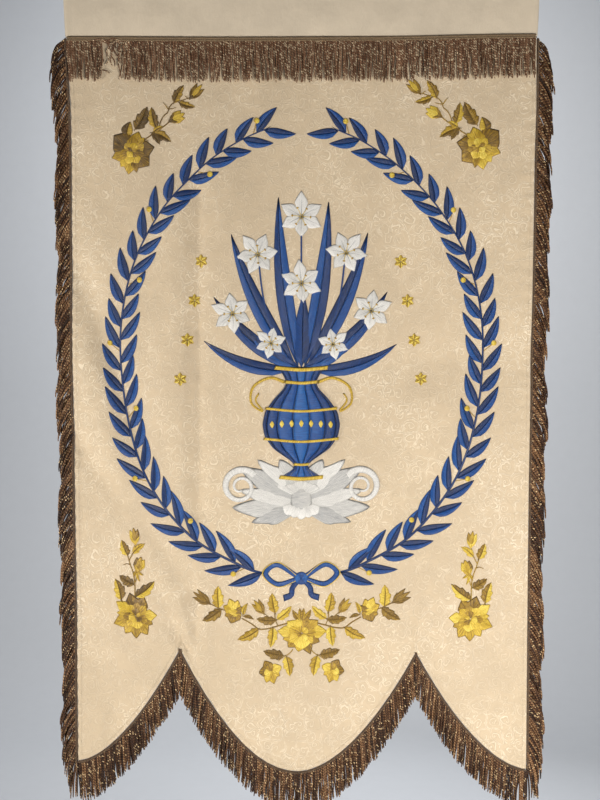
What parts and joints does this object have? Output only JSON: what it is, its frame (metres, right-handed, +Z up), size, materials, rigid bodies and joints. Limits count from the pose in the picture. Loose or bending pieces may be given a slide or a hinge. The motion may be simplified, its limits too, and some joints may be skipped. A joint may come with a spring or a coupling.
{
  "type": "church banner",
  "caption": "Hanging damask banner with a sleeve for a crossbar, a foot cut into rounded points, and long twisted fringe under the sleeve, down the sides and round the points.",
  "frame": {"origin": "middle of the sleeve's top edge, where the banner hangs from its crossbar", "axes": "+Z up, +X to the right as seen from the front, the front face towards -Y"},
  "size_m": [0.9115, 0.0372, 1.5221],
  "materials": {
    "damask": "cream satin damask",
    "fringe": "twisted metallic yarn",
    "gold_thread": "satin stitch in metallic gold",
    "blue_thread": "satin stitch in glossy blue",
    "white_thread": "satin stitch in glossy white"
  },
  "bodies": {
    "root": {"panel": "damask", "sleeve": "damask", "fringe_top": "fringe", "fringe_left": "fringe", "fringe_right": "fringe", "fringe_point_left": "fringe", "fringe_point_centre": "fringe", "fringe_point_right": "fringe"}
  },
  "joints": []
}
